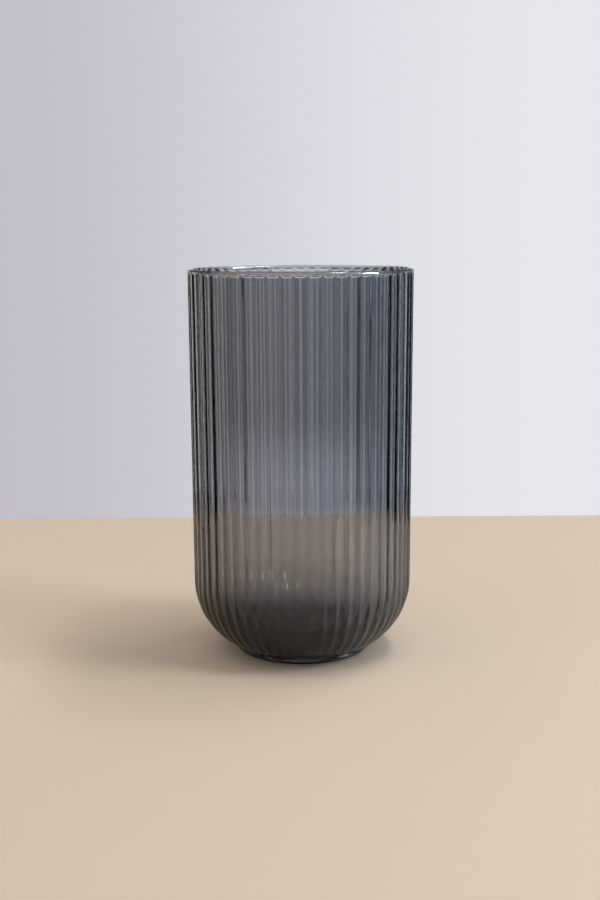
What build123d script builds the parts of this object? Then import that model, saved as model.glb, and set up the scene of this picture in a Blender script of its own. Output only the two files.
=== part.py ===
"""Fluted glass cylinder vase: one piece of smoke-tinted glass, pressed in a ribbed mould.

Origin at the centre of the foot's resting plane, +Z up the axis of the vase. Dimensions in mm.
"""
import os
from math import acos, cos, degrees, pi, radians, sin

from build123d import *

os.makedirs("parts", exist_ok=True)

# ---- outside, over the crests of the ridges ----
HEIGHT = 207.0            # rim top above the resting plane
RIM_RADIUS = 60.0         # at the rim
HEEL_RADIUS = 59.1        # where the rounded heel begins; the wall tapers slightly down to it
HEEL_ARC = 39.5           # radius of the heel's round, seen from the side

# ---- foot ring ----
FOOT_RADIUS = 36.0        # outside of the ring's rounded bead
BEAD = 1.4                # radius of the bead
GROOVE_TURN = 55.0        # degrees round the bead where the heel comes down onto it
GROOVE_ROUND = 0.5        # rounding of the groove between heel and bead
PUNT_RADIUS = 27.0        # shallow hollow under the base, which leaves a flat ring to stand on
PUNT_DEPTH = 1.6

# ---- inside ----
WALL = 3.2                # thickness at the rim, crest to inside
HEEL_WALL = 3.6           # thickness where the rounded heel begins
BASE = 13.0               # resting plane to the inside floor
INNER_ARC = 28.0          # round between the inside floor and the wall
LIP_ROUND = 1.5           # rounding of both edges of the rim

# ---- flutes ----
FLUTES = 54
DEPTH = 0.8               # crest to valley on the straight wall
RIDGE = 0.30              # share of the pitch taken by the convex ridge
SMOOTH_LIP = 1.7          # rim top down to the tips of the flutes
HEAD = 1.8                # length over which a flute grows to its full depth
TAIL = 4.0                # length over which a flute dies out above the foot
SMOOTH_HEEL = 1.2         # plain band between the flutes and the groove
PROUD = 0.12              # how far the plain bands stand out past the crests
HEEL_STEPS = 7            # steps between sections down the heel's round

# ---- derived ----
heel_centre = HEEL_RADIUS - HEEL_ARC
groove_r = FOOT_RADIUS - BEAD + BEAD * cos(radians(GROOVE_TURN))
groove_z = BEAD + BEAD * sin(radians(GROOVE_TURN))
groove_sweep = acos((groove_r - heel_centre) / HEEL_ARC)
heel_top = groove_z + HEEL_ARC * sin(groove_sweep)
flute_sweep = groove_sweep - SMOOTH_HEEL / HEEL_ARC
lip_base = HEIGHT - SMOOTH_LIP
punt_arc = (PUNT_RADIUS ** 2 + PUNT_DEPTH ** 2) / (2 * PUNT_DEPTH)
punt_turn = degrees(acos(PUNT_RADIUS / punt_arc))


def wall_radius(z):
    """Crest radius of the straight wall at height z."""
    return HEEL_RADIUS + (RIM_RADIUS - PROUD - HEEL_RADIUS) * (z - heel_top) / (HEIGHT - heel_top)


def heel_point(sweep):
    """Crest radius and height on the heel's round, sweep radians below its top."""
    return heel_centre + HEEL_ARC * cos(sweep), heel_top - HEEL_ARC * sin(sweep)


def polar(radius, steps):
    """Point at a radius, steps half pitches round from the first crest."""
    return radius * cos(pi * steps / FLUTES), radius * sin(pi * steps / FLUTES)


def section(radius, z, growth):
    """Radius, height, flute depth and ridge share of a flute that is part grown (0 to 1).

    A part-grown flute keeps the full one's curvature, so it is narrower as well as shallower,
    and its end is an arch.
    """
    growth = max(growth, 0.02)
    share = 1 - (1 - RIDGE) * growth ** 0.5
    return radius, z, DEPTH * growth * radius / RIM_RADIUS, share


head = []
for u in (0.0, 0.08, 0.25, 0.5, 0.75, 1.0):
    z = lip_base - HEAD * u
    head.append(section(wall_radius(z), z, 1 - (1 - u) ** 3))
wall = [section(wall_radius(z), z, 1) for z in (head[-1][1], heel_top)]
tail_sweep = TAIL / HEEL_ARC
heel = [section(*heel_point((flute_sweep - tail_sweep) * k / HEEL_STEPS), 1) for k in range(HEEL_STEPS + 1)]
for u in (0.35, 0.65, 0.88, 1.0):
    heel.append(section(*heel_point(flute_sweep - tail_sweep * (1 - u)), 1 - u ** 3))

with BuildPart() as vase:
    # smooth lip and smooth foot, turned about the axis
    with BuildSketch(Plane.XZ):
        with BuildLine():
            Polyline((0, lip_base), (RIM_RADIUS, lip_base), (RIM_RADIUS, HEIGHT), (0, HEIGHT), close=True)
        make_face()
        start = Vector(*heel_point(flute_sweep)) + (PROUD, 0)
        with BuildLine():
            ThreePointArc(start, heel_point((flute_sweep + groove_sweep) / 2), (groove_r, groove_z))
            bead = CenterArc((FOOT_RADIUS - BEAD, BEAD), BEAD, GROOVE_TURN, -GROOVE_TURN - 90)
            rest = Line(bead @ 1, (PUNT_RADIUS, 0))
            punt = CenterArc((0, PUNT_DEPTH - punt_arc), punt_arc, punt_turn, 90 - punt_turn)
            Polyline(punt @ 1, (0, start.Y), start)
        make_face()
        fillet(vertices().sort_by_distance((groove_r, groove_z))[0], GROOVE_ROUND)
    revolve(axis=Axis.Z)

    # fluted body, in three lengths: the arched heads, the straight wall, the rounded heel
    for length in (head, wall, heel):
        for radius, z, depth, share in length:
            with BuildSketch(Plane.XY.offset(z)):
                with BuildLine():
                    join = radius - depth * share
                    for k in range(0, 2 * FLUTES, 2):
                        ThreePointArc(polar(join, k - share), polar(radius, k), polar(join, k + share))
                        ThreePointArc(polar(join, k + share), polar(radius - depth, k + 1),
                                      polar(join, k + 2 - share))
                make_face()
        loft(ruled=length is wall)

    # hollow inside
    with BuildSketch(Plane.XZ):
        with BuildLine():
            floor = Line((0, BASE), (HEEL_RADIUS - HEEL_WALL - 0.25, BASE))
            side = Line(floor @ 1, (RIM_RADIUS - WALL, HEIGHT))
            Polyline(side @ 1, (0, HEIGHT), (0, BASE))
        make_face()
        fillet(vertices().sort_by_distance(floor @ 1)[0], INNER_ARC)
    revolve(axis=Axis.Z, mode=Mode.SUBTRACT)
    fillet(edges().group_by(Axis.Z)[-1], LIP_ROUND)

vase.part.label = "vase"
export_step(vase.part, "parts/vase.step")
print(f"vase: {vase.part.volume / 1000:.1f} cm3, valid {vase.part.is_valid}, "
      f"solids {len(vase.part.solids())}, size {vase.part.bounding_box().size}")
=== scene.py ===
"""Fluted smoke-glass vase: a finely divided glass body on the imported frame, with floor, light and camera."""
from math import acos, atan, cos, pi, radians, sin, sqrt

import bpy
import numpy as np
from mathutils import Matrix, Vector


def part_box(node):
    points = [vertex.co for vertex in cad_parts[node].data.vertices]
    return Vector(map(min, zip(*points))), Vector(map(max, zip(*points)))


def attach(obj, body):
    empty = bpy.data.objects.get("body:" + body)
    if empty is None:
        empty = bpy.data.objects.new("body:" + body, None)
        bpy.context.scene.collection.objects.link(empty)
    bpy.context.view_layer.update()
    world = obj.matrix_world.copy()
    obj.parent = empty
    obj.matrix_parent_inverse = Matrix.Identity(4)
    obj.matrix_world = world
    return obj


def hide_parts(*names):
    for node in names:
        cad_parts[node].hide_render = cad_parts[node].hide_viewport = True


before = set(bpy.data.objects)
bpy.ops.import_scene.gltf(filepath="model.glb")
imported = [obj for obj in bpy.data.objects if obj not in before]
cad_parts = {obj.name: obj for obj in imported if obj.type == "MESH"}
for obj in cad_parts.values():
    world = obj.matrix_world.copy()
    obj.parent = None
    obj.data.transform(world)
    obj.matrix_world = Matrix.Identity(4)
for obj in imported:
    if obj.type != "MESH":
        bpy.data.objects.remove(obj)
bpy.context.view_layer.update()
MM = 0.001

# ---- sizes, in millimetres; the overall ones come from the frame's box ----
low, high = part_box("vase")
HEIGHT = (high.z - low.z) / MM
RIM = (high.x - low.x) / 2 / MM  # outside radius of the lip
PROUD = 0.12  # the lip stands this far past the ridges
HEEL = 59.1  # radius where the rounded heel begins
HEEL_ARC = 39.5  # radius of the heel's round, seen from the side
FOOT = 36.0  # outside of the foot's rounded bead
BEAD = 1.4
BEAD_TURN = radians(55)  # round the bead, to where the heel meets it
RING = 2.0  # each side of the flat ring that the vase stands on
PUNT, PUNT_DEPTH = 27.0, 1.6  # shallow hollow under the base
WALL, HEEL_WALL, BASE = 3.2, 3.6, 13.0  # thickness at the rim, where the heel begins, and of the base
INSIDE_DRAFT = 0.25  # the inside narrows this much more by the time it reaches the floor
INNER_ARC = 28.0  # round between the inside floor and the wall
LIP_BAND = 1.7  # rim top to the tips of the flutes
HEAD, TAIL, PLAIN = 1.8, 4.0, 1.2  # flutes growing, flutes dying out, and the plain band below
FLUTES, DEPTH, RIDGE = 54, 0.8, 0.30  # RIDGE is the share of the pitch taken by the convex ridge

# ---- mesh density: rows along each stretch of the outline, and columns round the vase ----
FLOOR_ROWS, ROUND_ROWS, INSIDE_ROWS = 10, 40, 14
LIP_ROWS = 21  # odd, so that one row lies on the very top
HEAD_ROWS, WALL_ROWS, HEEL_ROWS, TAIL_ROWS, PLAIN_ROWS = 18, 22, 34, 14, 4
BEAD_ROWS, PUNT_ROWS = 14, 10
PER_FLUTE = 24
EASE = 0.16  # how much closer together the columns are on the ridges

# ---- irregularity of pressed glass ----
CREST_SHIFT = 0.05  # spread of the crests' places, in half pitches
DEPTH_SPREAD = 0.10  # spread of the flutes' depths, as a share
INSIDE_SLOPE = 0.02  # typical tilt of the inside face
INSIDE_WAVES = (12, 90)  # fewest and most ripples round the inside
DRIFT = 0.012  # how fast the ripples move round with height, radians per mm
FADE = 6.0  # the ripples fade in over this height
SHIFT_SEED, RIPPLE_SEED = 5, 11

# ---- scene, in metres ----
FLOOR_SIDE, FLOOR_FRONT, FLOOR_BACK = 0.36, -0.40, 0.322
FLOOR_DROP = 0.0003
FLOOR_COLOUR = (0.60, 0.465, 0.335, 1)
# painted shading: the backdrop is darker to the left and lighter to the right, as if lit from the right
BACKDROP_SHADED_LEFT, BACKDROP_LIT_RIGHT = (0.53, 0.51, 0.58, 1), (0.80, 0.79, 0.845, 1)
BACKDROP_SIDES = (-0.25, 0.2)  # sines of the angles to left and right where those two colours are reached

# ---- the room that the glass gathers ----
# Heights are sines of the angle above level, and turns are in degrees. Two heights or turns in brackets
# are where a soft step begins and ends.
PANELS = 8  # bright panels round the room, which the flutes break up into lines
PANEL_HALF, PANEL_EDGE = 8.5, 1.5  # half width and softness
PANEL, GAP = 1.45, 0.01  # brightness of the panels and between them
BEHIND, BEHIND_EDGE = 0.36, (24, 30)  # the wall straight behind the vase, and where it fades out
LOW, LOW_ADDS = (-0.20, -0.14), 0.30  # below this the wall behind is brighter, and again lower still
LOWEST, LOWEST_ADDS = (-0.23, -0.215), 0.25
UPPER = (-0.043, -0.035)  # above this the camera looks in over the rim, and all is brighter
UPPER_ADDS, UPPER_TURN = (0.45, 0.30), (6, 12)  # added to the middle of the wall behind, and to its sides
UPPER_GAP = 0.7  # the gaps are this bright there
DIM, DIM_SHARE = (0.06, 0.22), 0.25  # the walls dim to this share higher up
CEILING, CEILING_GLOW = (0.45, 0.75), 0.9
WARM, COOL = (1.0, 0.94, 0.86, 1), (0.80, 0.92, 1.1, 1)  # tints of the room's left and right
TINT_SIDES = (-0.8, 0.8)  # sines of the angles to left and right where those two tints are reached

# ---- lamps: place, width and height, watts, colour ----
LAMPS = {
    "overhead": ((0.6, 0.1, 1.9), (1.1, 0.25), 13, (1, 1, 1)),
    "key_right": ((1.4, -0.5, 1.2), (0.4, 0.7), 9, (0.94, 0.97, 1.0)),
    "window_left": ((-1.6, -0.9, 0.9), (0.3, 0.9), 3, (0.90, 0.95, 1.0)),
    "glint": ((1.6, -0.25, 1.15), (0.4, 0.9), 200, (0.90, 0.95, 1.0)),
    "low_front": ((0.0, -2.4, 0.62), (3.0, 0.8), 24, (0.85, 0.94, 1.0)),
}
LAMPS_FACE = Vector((0, 0, 0.1))  # near the middle of the vase

CAMERA_PLACE = (-0.00082, -0.69901, 0.22895)
LENS, SENSOR = 52.274, 36
PITCH, ROLL = 0.169628, 0.005476  # radians: looking down, and a slight tilt


def arc(centre, radius, start, end, steps):
    """Points of an arc in the (radius, height) plane, both ends included."""
    return [(centre[0] + radius * cos(a), centre[1] + radius * sin(a))
            for a in np.linspace(start, end, steps)]


def plain(points):
    """Rows without flutes through (radius, height) points."""
    return [(r, z, 0) for r, z in points]


def inside_rows():
    """The inside floor, its round and the wall up to the lip."""
    top_r, bottom_r = RIM - WALL, HEEL - HEEL_WALL - INSIDE_DRAFT
    lean = atan((top_r - bottom_r) / (HEIGHT - BASE))
    centre = (bottom_r + INNER_ARC * (sin(lean) - 1) / cos(lean), BASE + INNER_ARC)
    rows = plain((r, BASE) for r in np.linspace(0, centre[0], FLOOR_ROWS)[:-1])
    rows += plain(arc(centre, INNER_ARC, -pi / 2, -lean, ROUND_ROWS))
    r, z = rows[-1][:2]
    end_z = HEIGHT - WALL / 2
    rows += plain((r + (top_r - r) * share, z + (end_z - z) * share)
                  for share in np.linspace(0, 1, INSIDE_ROWS)[1:-1])
    return rows


def outside_rows(heel_r, heel_z, sweep):
    """The heads of the flutes, the straight wall, and the heel with the flutes' tails."""
    def wall_r(z):
        return HEEL + (RIM - PROUD - HEEL) * (z - heel_z) / (HEIGHT - heel_z)

    rows = []
    for share in np.linspace(0, 1, HEAD_ROWS):
        z = HEIGHT - LIP_BAND - HEAD * share
        rows.append((wall_r(z), z, 1 - (1 - share) ** 3))
    top = rows[-1][1]
    for share in np.linspace(0, 1, WALL_ROWS)[1:-1]:
        z = top + (heel_z - top) * share
        rows.append((wall_r(z), z, 1))
    end = sweep - PLAIN / HEEL_ARC
    tail = end - TAIL / HEEL_ARC
    turns = [*np.linspace(0, tail, HEEL_ROWS), *np.linspace(tail, end, TAIL_ROWS)[1:],
             *np.linspace(end, sweep, PLAIN_ROWS)[1:]]
    for turn in turns:
        share = min(max((turn - tail) / (end - tail), 0), 1)
        rows.append((heel_r + HEEL_ARC * cos(turn), heel_z - HEEL_ARC * sin(turn), 1 - share ** 3))
    return rows


def foot_rows():
    """The foot's bead, the flat resting ring and the hollow underside."""
    rows = plain(arc((FOOT - BEAD, BEAD), BEAD, BEAD_TURN, -pi / 2, BEAD_ROWS)[1:])
    rows += plain((r, 0) for r in (FOOT - BEAD - RING, PUNT + RING, PUNT))
    punt_arc = (PUNT ** 2 + PUNT_DEPTH ** 2) / (2 * PUNT_DEPTH)
    hollow = arc((0, PUNT_DEPTH - punt_arc), punt_arc, acos(PUNT / punt_arc), pi / 2, PUNT_ROWS)
    rows += plain(hollow[1:])
    return rows


def meridian():
    """Rows from the middle of the inside floor, over the lip and down to the middle of the underside.

    Each is (crest radius, height, flute growth from 0 to 1).
    """
    heel_r = HEEL - HEEL_ARC
    groove_r, groove_z = FOOT - BEAD + BEAD * cos(BEAD_TURN), BEAD + BEAD * sin(BEAD_TURN)
    sweep = acos((groove_r - heel_r) / HEEL_ARC)
    heel_z = groove_z + HEEL_ARC * sin(sweep)
    lip = plain(arc((RIM - WALL / 2, HEIGHT - WALL / 2), WALL / 2, pi, 0, LIP_ROWS))
    return inside_rows() + lip + outside_rows(heel_r, heel_z, sweep) + foot_rows()


def ripple(theta, z):
    """Slight waviness of the inside round the vase, which drifts slowly with height (radius offset, mm)."""
    rng = np.random.default_rng(RIPPLE_SEED)
    out = np.zeros_like(theta)
    for k in range(*INSIDE_WAVES):
        phase, drift, size = rng.uniform(0, 2 * pi), rng.normal(0, DRIFT), rng.normal(0, 1)
        out += size / k * np.sin(k * theta + phase + drift * z)
    return out * INSIDE_SLOPE * RIM / sqrt((INSIDE_WAVES[1] - INSIDE_WAVES[0]) / 2)


def ripple_share(radius, z):
    """How much of the waviness shows at a place inside: none at the floor's middle or in the lip."""
    below_lip = min(max((HEIGHT - 2 - z) / FADE, 0), 1)
    above_floor = min(max((z - BASE) / FADE, 0), 1)
    return min(radius / RIM, 1) * below_lip * above_floor


def across():
    """Angles round the vase, closer together on the ridges, as half pitches from the first crest."""
    steps = np.arange(PER_FLUTE) / PER_FLUTE * 2
    eased = steps - EASE * np.sin(steps * pi)
    return (np.arange(FLUTES)[:, None] * 2 + eased[None, :]).ravel()


def flute_drop(x, growth, radius):
    """Depth below the crest at x half pitches: a convex ridge that runs smoothly into a concave flute."""
    if growth <= 0:
        return np.zeros_like(x)
    depth = DEPTH * growth * radius / RIM
    share = 1 - (1 - RIDGE) * growth ** 0.5
    x = np.mod(x, 2)
    x = np.minimum(x, 2 - x)
    return np.where(x < share, depth * x ** 2 / share, depth - depth * (1 - x) ** 2 / (1 - share))


def glass_body():
    """The vase as one closed, finely divided mesh."""
    rows, x = meridian(), across()
    theta = x * pi / FLUTES
    columns = len(theta)
    rng = np.random.default_rng(SHIFT_SEED)
    shift = rng.normal(0, CREST_SHIFT, FLUTES)
    depths = np.repeat(1 + rng.normal(0, DEPTH_SPREAD, FLUTES), PER_FLUTE)
    shifted = x + np.interp(x, np.arange(FLUTES + 1) * 2, np.append(shift, shift[0]))
    lip_at = int(np.argmax([z for r, z, growth in rows]))

    verts = [(0, 0, rows[0][1])]
    for i, (radius, z, growth) in enumerate(rows[1:-1], 1):
        r = radius - flute_drop(shifted, growth, radius) * depths
        if i < lip_at:
            r += ripple(theta, z) * ripple_share(radius, z)
        verts.extend(zip(r * np.cos(theta), r * np.sin(theta), np.full(columns, z)))
    verts.append((0, 0, rows[-1][1]))

    ring = np.arange(columns)
    pairs = list(zip(ring, np.roll(ring, -1)))
    first, last, end = 1, 1 + (len(rows) - 3) * columns, len(verts) - 1
    faces = [(0, first + a, first + b) for a, b in pairs]
    for this in range(first, last, columns):
        after = this + columns
        faces.extend((this + a, after + a, after + b, this + b) for a, b in pairs)
    faces.extend((last + a, end, last + b) for a, b in pairs)
    mesh = bpy.data.meshes.new("vase_glass")
    mesh.from_pydata((np.array(verts) * MM).tolist(), [], faces)
    mesh.validate()
    mesh.shade_smooth()
    return add_object("vase_glass", mesh)


def add_object(name, data):
    """A new object in the scene."""
    added = bpy.data.objects.new(name, data)
    bpy.context.scene.collection.objects.link(added)
    return added


def node(tree, kind, where=(0, 0), **inputs):
    """A shader node with some of its inputs set; an underscore stands for a space in an input's name."""
    added = tree.nodes.new(kind)
    added.location = where
    for key, value in inputs.items():
        added.inputs[key.replace("_", " ")].default_value = value
    return added


def smoke_glass():
    """Clear glass with a grey smoke tint in its depth, and the faint waviness of pressed glass."""
    material = bpy.data.materials.new("smoke_glass")
    material.use_nodes = True
    tree = material.node_tree
    tree.nodes.clear()
    link = tree.links.new
    out = node(tree, "ShaderNodeOutputMaterial", (600, 0))
    glass = node(tree, "ShaderNodeBsdfPrincipled", (300, 0), Base_Color=(1, 1, 1, 1), IOR=1.5,
                 Transmission_Weight=1.0, Roughness=0.0)
    tint = node(tree, "ShaderNodeVolumeAbsorption", (300, -400), Color=(0.50, 0.51, 0.55, 1),
                Density=400.0)
    coords = node(tree, "ShaderNodeTexCoord", (-900, 0))
    stretch = node(tree, "ShaderNodeMapping", (-700, 0), Scale=(1, 1, 0.25))
    wave = node(tree, "ShaderNodeTexNoise", (-500, 0), Scale=60.0, Detail=1.0)
    bump = node(tree, "ShaderNodeBump", (-100, -200), Strength=0.2, Distance=0.0004)
    smear = node(tree, "ShaderNodeTexNoise", (-500, 300), Scale=35.0, Detail=4.0)
    rough = node(tree, "ShaderNodeMapRange", (-100, 300), From_Min=0.5, From_Max=0.8,
                 To_Min=0.0, To_Max=0.006)
    link(coords.outputs["Object"], stretch.inputs["Vector"])
    link(stretch.outputs["Vector"], wave.inputs["Vector"])
    link(coords.outputs["Object"], smear.inputs["Vector"])
    link(wave.outputs["Fac"], bump.inputs["Height"])
    link(bump.outputs["Normal"], glass.inputs["Normal"])
    link(smear.outputs["Fac"], rough.inputs["Value"])
    link(rough.outputs["Result"], glass.inputs["Roughness"])
    link(glass.outputs["BSDF"], out.inputs["Surface"])
    link(tint.outputs["Volume"], out.inputs["Volume"])
    return material


def pale_floor():
    """A plain pale table top, whose back edge is a little way behind the vase."""
    mesh = bpy.data.meshes.new("floor")
    corners = [(-FLOOR_SIDE, FLOOR_FRONT, 0), (FLOOR_SIDE, FLOOR_FRONT, 0),
               (FLOOR_SIDE, FLOOR_BACK, 0), (-FLOOR_SIDE, FLOOR_BACK, 0)]
    mesh.from_pydata(corners, [], [(0, 1, 2, 3)])
    material = bpy.data.materials.new("floor")
    material.use_nodes = True
    surface = material.node_tree.nodes["Principled BSDF"]
    surface.inputs["Base Color"].default_value = FLOOR_COLOUR
    surface.inputs["Roughness"].default_value = 0.7
    mesh.materials.append(material)
    floor = add_object("floor", mesh)
    floor.location.z = -FLOOR_DROP
    return floor


def studio():
    """The world: pale where the camera looks straight at it, with painted shade to the left and painted light
    to the right, and a room for what the glass gathers.
    """
    world = bpy.data.worlds.new("studio")
    bpy.context.scene.world = world
    world.use_nodes = True
    tree = world.node_tree
    tree.nodes.clear()
    link = tree.links.new

    def maths(kind, *values):
        """A Math node fed with sockets or numbers; returns its output."""
        step = node(tree, "ShaderNodeMath")
        step.operation = kind
        for socket, value in zip(step.inputs, values):
            if isinstance(value, (int, float)):
                socket.default_value = value
            else:
                link(value, socket)
        return step.outputs[0]

    def between(value, start, end, first, last):
        """A smooth step from first to last as value runs from start to end."""
        ramp = node(tree, "ShaderNodeMapRange", From_Min=start, From_Max=end, To_Min=first, To_Max=last)
        ramp.interpolation_type = "SMOOTHSTEP"
        link(value, ramp.inputs["Value"])
        return ramp.outputs[0]

    def blend(share, first, last):
        """A colour that runs from first to last."""
        mixed = node(tree, "ShaderNodeMix")
        mixed.data_type = "RGBA"
        link(share, mixed.inputs["Factor"])
        colours = [socket for socket in mixed.inputs if socket.type == "RGBA"]
        for socket, colour in zip(colours, (first, last)):
            socket.default_value = colour
        return next(socket for socket in mixed.outputs if socket.type == "RGBA")

    coords = node(tree, "ShaderNodeTexCoord")
    split = node(tree, "ShaderNodeSeparateXYZ")
    link(coords.outputs["Generated"], split.inputs["Vector"])
    x, y, z = split.outputs
    turn = maths("MULTIPLY", maths("ARCTAN2", x, y), 180 / pi)
    aside = maths("ABSOLUTE", turn)

    # the wall straight behind
    upper = between(z, *UPPER, 0.0, 1.0)
    wall = maths("ADD", between(z, *LOW, LOW_ADDS, 0.0), between(z, *LOWEST, LOWEST_ADDS, 0.0))
    wall = maths("ADD", wall, BEHIND)
    wall = maths("ADD", wall, maths("MULTIPLY", upper, between(aside, *UPPER_TURN, *UPPER_ADDS)))
    ahead = between(aside, *BEHIND_EDGE, 1.0, 0.0)

    # the rest of the room: bright panels with dark gaps, then dimmer up to the ceiling
    spacing = 360.0 / PANELS
    off = maths("FLOORED_MODULO", maths("ADD", turn, spacing / 2), spacing)
    off = maths("ABSOLUTE", maths("SUBTRACT", off, spacing / 2))
    panels = between(off, PANEL_HALF - PANEL_EDGE, PANEL_HALF + PANEL_EDGE, PANEL, GAP)
    panels = maths("MAXIMUM", panels, maths("MULTIPLY", upper, UPPER_GAP))
    level = maths("ADD", maths("MULTIPLY", wall, ahead),
                  maths("MULTIPLY", panels, maths("SUBTRACT", 1.0, ahead)))
    level = maths("MULTIPLY", level, between(z, *DIM, 1.0, DIM_SHARE))
    level = maths("MAXIMUM", level, between(z, *CEILING, 0.0, CEILING_GLOW))

    room = node(tree, "ShaderNodeBackground")
    link(blend(between(x, *TINT_SIDES, 0.0, 1.0), WARM, COOL), room.inputs["Color"])
    link(level, room.inputs["Strength"])
    seen = node(tree, "ShaderNodeBackground", Strength=1.0)
    # the backdrop's painted shade and light, darker on the left and lighter on the right
    link(blend(between(x, *BACKDROP_SIDES, 0.0, 1.0), BACKDROP_SHADED_LEFT, BACKDROP_LIT_RIGHT), seen.inputs["Color"])
    path = node(tree, "ShaderNodeLightPath")
    mix = node(tree, "ShaderNodeMixShader")
    out = node(tree, "ShaderNodeOutputWorld")
    link(path.outputs["Is Camera Ray"], mix.inputs[0])
    link(room.outputs["Background"], mix.inputs[1])
    link(seen.outputs["Background"], mix.inputs[2])
    link(mix.outputs["Shader"], out.inputs["Surface"])


def lamp(name, where, size, power, colour):
    """A rectangular lamp that faces the vase."""
    data = bpy.data.lights.new(name, "AREA")
    data.shape, data.size, data.size_y = "RECTANGLE", *size
    data.energy, data.color = power, colour
    added = add_object(name, data)
    added.location = where
    added.rotation_euler = (Vector(where) - LAMPS_FACE).to_track_quat("Z", "Y").to_euler()
    return added


def lamps():
    """The lamps; two are there to show in the glass, and give the floor no diffuse light."""
    added = {name: lamp(name, *facts) for name, facts in LAMPS.items()}
    added["glint"].visible_diffuse = False
    added["low_front"].visible_diffuse = added["low_front"].visible_transmission = False


def add_camera():
    """The camera, in front and a little above, looking slightly down."""
    data = bpy.data.cameras.new("camera")
    data.lens, data.sensor_width = LENS, SENSOR
    data.clip_start, data.clip_end = 0.01, 20
    camera = add_object("camera", data)
    level, steep = Vector((1, 0, 0)), Vector((0, sin(PITCH), cos(PITCH)))
    right = level * cos(ROLL) - steep * sin(ROLL)
    up = level * sin(ROLL) + steep * cos(ROLL)
    turned = Matrix((right, up, right.cross(up))).transposed()
    camera.matrix_world = Matrix.Translation(CAMERA_PLACE) @ turned.to_4x4()
    return camera


vase = glass_body()
vase.data.materials.append(smoke_glass())
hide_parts("vase")
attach(vase, "root")

pale_floor()
studio()
lamps()
bpy.context.scene.camera = add_camera()
bpy.context.scene.view_settings.view_transform = "Standard"
